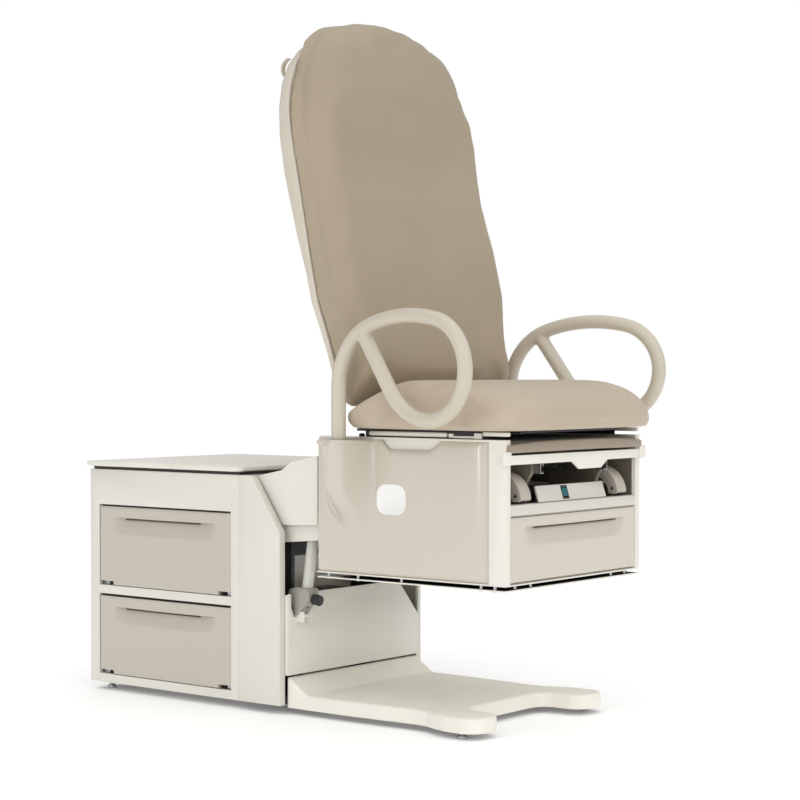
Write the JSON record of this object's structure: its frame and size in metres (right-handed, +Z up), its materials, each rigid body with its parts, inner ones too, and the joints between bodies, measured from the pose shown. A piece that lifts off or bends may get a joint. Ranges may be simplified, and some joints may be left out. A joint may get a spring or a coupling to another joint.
{
  "type": "medical examination table",
  "caption": "Power examination table: tall back section, seat and grab loops on a drawer carriage, lifted by a parallel arm from a drawer cabinet, with a low foot plate.",
  "frame": {"origin": "on the floor, under the middle of the bounding box", "axes": "+Z up, the seat's front faces -Y, the drawer cabinet lies towards +Y, the badge panel faces -X"},
  "size_m": [0.8308, 1.4135, 1.691],
  "materials": {
    "cream_paint": "satin powder coat",
    "beige_panel": "glossy",
    "back_vinyl": "soft satin grain",
    "seat_vinyl": "soft satin grain",
    "dark_frame": "matt black",
    "steel": "zinc plated",
    "motor_plastic": "satin grey",
    "black_plastic": "matt",
    "worktop_laminate": "satin",
    "drawer_plastic": "satin",
    "shell_plastic": "satin",
    "badge_white": "glossy, left bare",
    "teal_plastic": "glossy",
    "bar_paint": "semi-gloss powder coat"
  },
  "bodies": {
    "base": {"base_frame": "dark_frame", "foot_plate": "cream_paint", "leveling_feet": "steel", "side_frame_left": "cream_paint", "side_frame_right": "cream_paint", "rear_panel": "cream_paint", "inner_partition": "cream_paint", "cabinet_decks": "cream_paint", "side_wall_left": "cream_paint", "side_wall_right": "cream_paint", "worktop": "worktop_laminate", "front_cover": "cream_paint", "drawer_runners": "steel", "control_box": "black_plastic", "power_inlet": "black_plastic", "pivot_shafts": "steel"},
    "upper_drawer": {"upper_drawer_box": "drawer_plastic", "upper_front_left": "beige_panel", "upper_front_right": "beige_panel"},
    "lower_drawer": {"lower_drawer_box": "drawer_plastic", "lower_front_left": "beige_panel", "lower_front_right": "beige_panel"},
    "upper_arm": {"upper_link": "cream_paint", "arm_cover": "cream_paint"},
    "lower_arm": {"lower_link": "cream_paint"},
    "lift_body": {"lift_housing": "motor_plastic", "lift_motor_cap": "black_plastic", "lift_tube": "motor_plastic"},
    "lift_rod": {"lift_rod": "steel"},
    "carriage": {"carriage_frame": "cream_paint", "side_panel_left": "beige_panel", "side_panel_right": "beige_panel", "badge_plate": "badge_white", "front_rail": "cream_paint", "cavity_dividers": "cream_paint", "switch_panel": "cream_paint", "carriage_shafts": "steel", "bar_bushes": "black_plastic", "seat_frame": "dark_frame", "seat_cushion": "seat_vinyl", "back_motor_body": "motor_plastic", "pan_pins": "steel", "back_hinge_pin": "steel"},
    "switch": {"rocker_switch": "teal_plastic"},
    "pan": {"safety_pan": "cream_paint"},
    "front_drawer": {"front_drawer_box": "drawer_plastic", "front_drawer_face": "beige_panel"},
    "left_stirrup": {"stirrup_rail_left": "steel"},
    "left_heel_cup": {"heel_cup_left": "drawer_plastic"},
    "right_stirrup": {"stirrup_rail_right": "steel"},
    "right_heel_cup": {"heel_cup_right": "drawer_plastic"},
    "foot_extension": {"foot_tray": "cream_paint", "foot_pad": "seat_vinyl"},
    "back": {"back_shell": "shell_plastic", "back_cushion": "back_vinyl", "back_hinge_frame": "dark_frame", "head_loops": "shell_plastic"},
    "back_rod": {"back_motor_rod": "steel"},
    "left_bar": {"grab_bar_left": "bar_paint"},
    "right_bar": {"grab_bar_right": "bar_paint"}
  },
  "joints": [
    {"name": "lift", "type": "hinge", "parent": "base", "child": "upper_arm", "pos_m": [0, 0.113, 0.548], "axis": [-1, 0, 0], "range_deg": [-39, 21]},
    {"name": "lower_arm_pivot", "type": "hinge", "parent": "base", "child": "lower_arm", "pos_m": [0, 0.113, 0.428], "axis": [-1, 0, 0], "range_deg": [-39, 21]},
    {"name": "carriage_level", "type": "hinge", "parent": "upper_arm", "child": "carriage", "pos_m": [0, -0.28548, 0.58286], "axis": [-1, 0, 0], "range_deg": [-21, 39]},
    {"name": "lift_motor_tilt", "type": "hinge", "parent": "base", "child": "lift_body", "pos_m": [-0.208, 0.005, 0.235], "axis": [-1, 0, 0], "range_deg": [-2.8, 1.5]},
    {"name": "lift_rod_slide", "type": "slide", "parent": "lift_body", "child": "lift_rod", "axis": [0, -0.1519, 0.9884], "range_m": [-0.1065, 0.0575]},
    {"name": "back_recline", "type": "hinge", "parent": "carriage", "child": "back", "pos_m": [0, -0.17998, 0.69], "axis": [-1, 0, 0], "range_deg": [0, 78]},
    {"name": "back_rod_slide", "type": "slide", "parent": "carriage", "child": "back_rod", "axis": [0, -1, 0], "range_m": [0, 0.1055]},
    {"name": "upper_drawer_slide", "type": "slide", "parent": "base", "child": "upper_drawer", "axis": [1, 0, 0], "range_m": [-0.4, 0.4]},
    {"name": "lower_drawer_slide", "type": "slide", "parent": "base", "child": "lower_drawer", "axis": [1, 0, 0], "range_m": [-0.4, 0.4]},
    {"name": "front_drawer_slide", "type": "slide", "parent": "carriage", "child": "front_drawer", "axis": [0, -1, 0], "range_m": [0, 0.28]},
    {"name": "foot_extension_slide", "type": "slide", "parent": "carriage", "child": "foot_extension", "axis": [0, -1, 0], "range_m": [0, 0.38]},
    {"name": "left_stirrup_slide", "type": "slide", "parent": "carriage", "child": "left_stirrup", "axis": [0, -1, 0], "range_m": [0, 0.2]},
    {"name": "right_stirrup_slide", "type": "slide", "parent": "carriage", "child": "right_stirrup", "axis": [0, -1, 0], "range_m": [0, 0.2]},
    {"name": "left_cup_fold", "type": "hinge", "parent": "left_stirrup", "child": "left_heel_cup", "pos_m": [-0.186, -0.62198, 0.55], "axis": [1, 0, 0], "range_deg": [0, 90]},
    {"name": "right_cup_fold", "type": "hinge", "parent": "right_stirrup", "child": "right_heel_cup", "pos_m": [0.21, -0.62198, 0.55], "axis": [1, 0, 0], "range_deg": [0, 90]},
    {"name": "safety_pan_lift", "type": "slide", "parent": "carriage", "child": "pan", "axis": [0, 0, 1], "range_m": [0, 0.006]},
    {"name": "rocker", "type": "hinge", "parent": "carriage", "child": "switch", "pos_m": [-0.028, -0.63226, 0.55114], "axis": [1, 0, 0], "range_deg": [-8, 8]},
    {"name": "left_bar_swivel", "type": "hinge", "parent": "carriage", "child": "left_bar", "pos_m": [-0.34, -0.21798, 0.65], "axis": [0, 0, -1], "range_deg": [0, 90]},
    {"name": "right_bar_swivel", "type": "hinge", "parent": "carriage", "child": "right_bar", "pos_m": [0.34, -0.21798, 0.65], "axis": [0, 0, 1], "range_deg": [0, 90]}
  ],
  "couplings": [
    {"joint": "lower_arm_pivot", "follows": "lift", "ratio": 1},
    {"joint": "carriage_level", "follows": "lift", "ratio": -1},
    {"joint": "lift_motor_tilt", "follows": "lift", "ratio": 0.07},
    {"joint": "lift_rod_slide", "follows": "lift", "m_per_rad": 0.155},
    {"joint": "back_rod_slide", "follows": "back_recline", "m_per_rad": 0.07674}
  ]
}
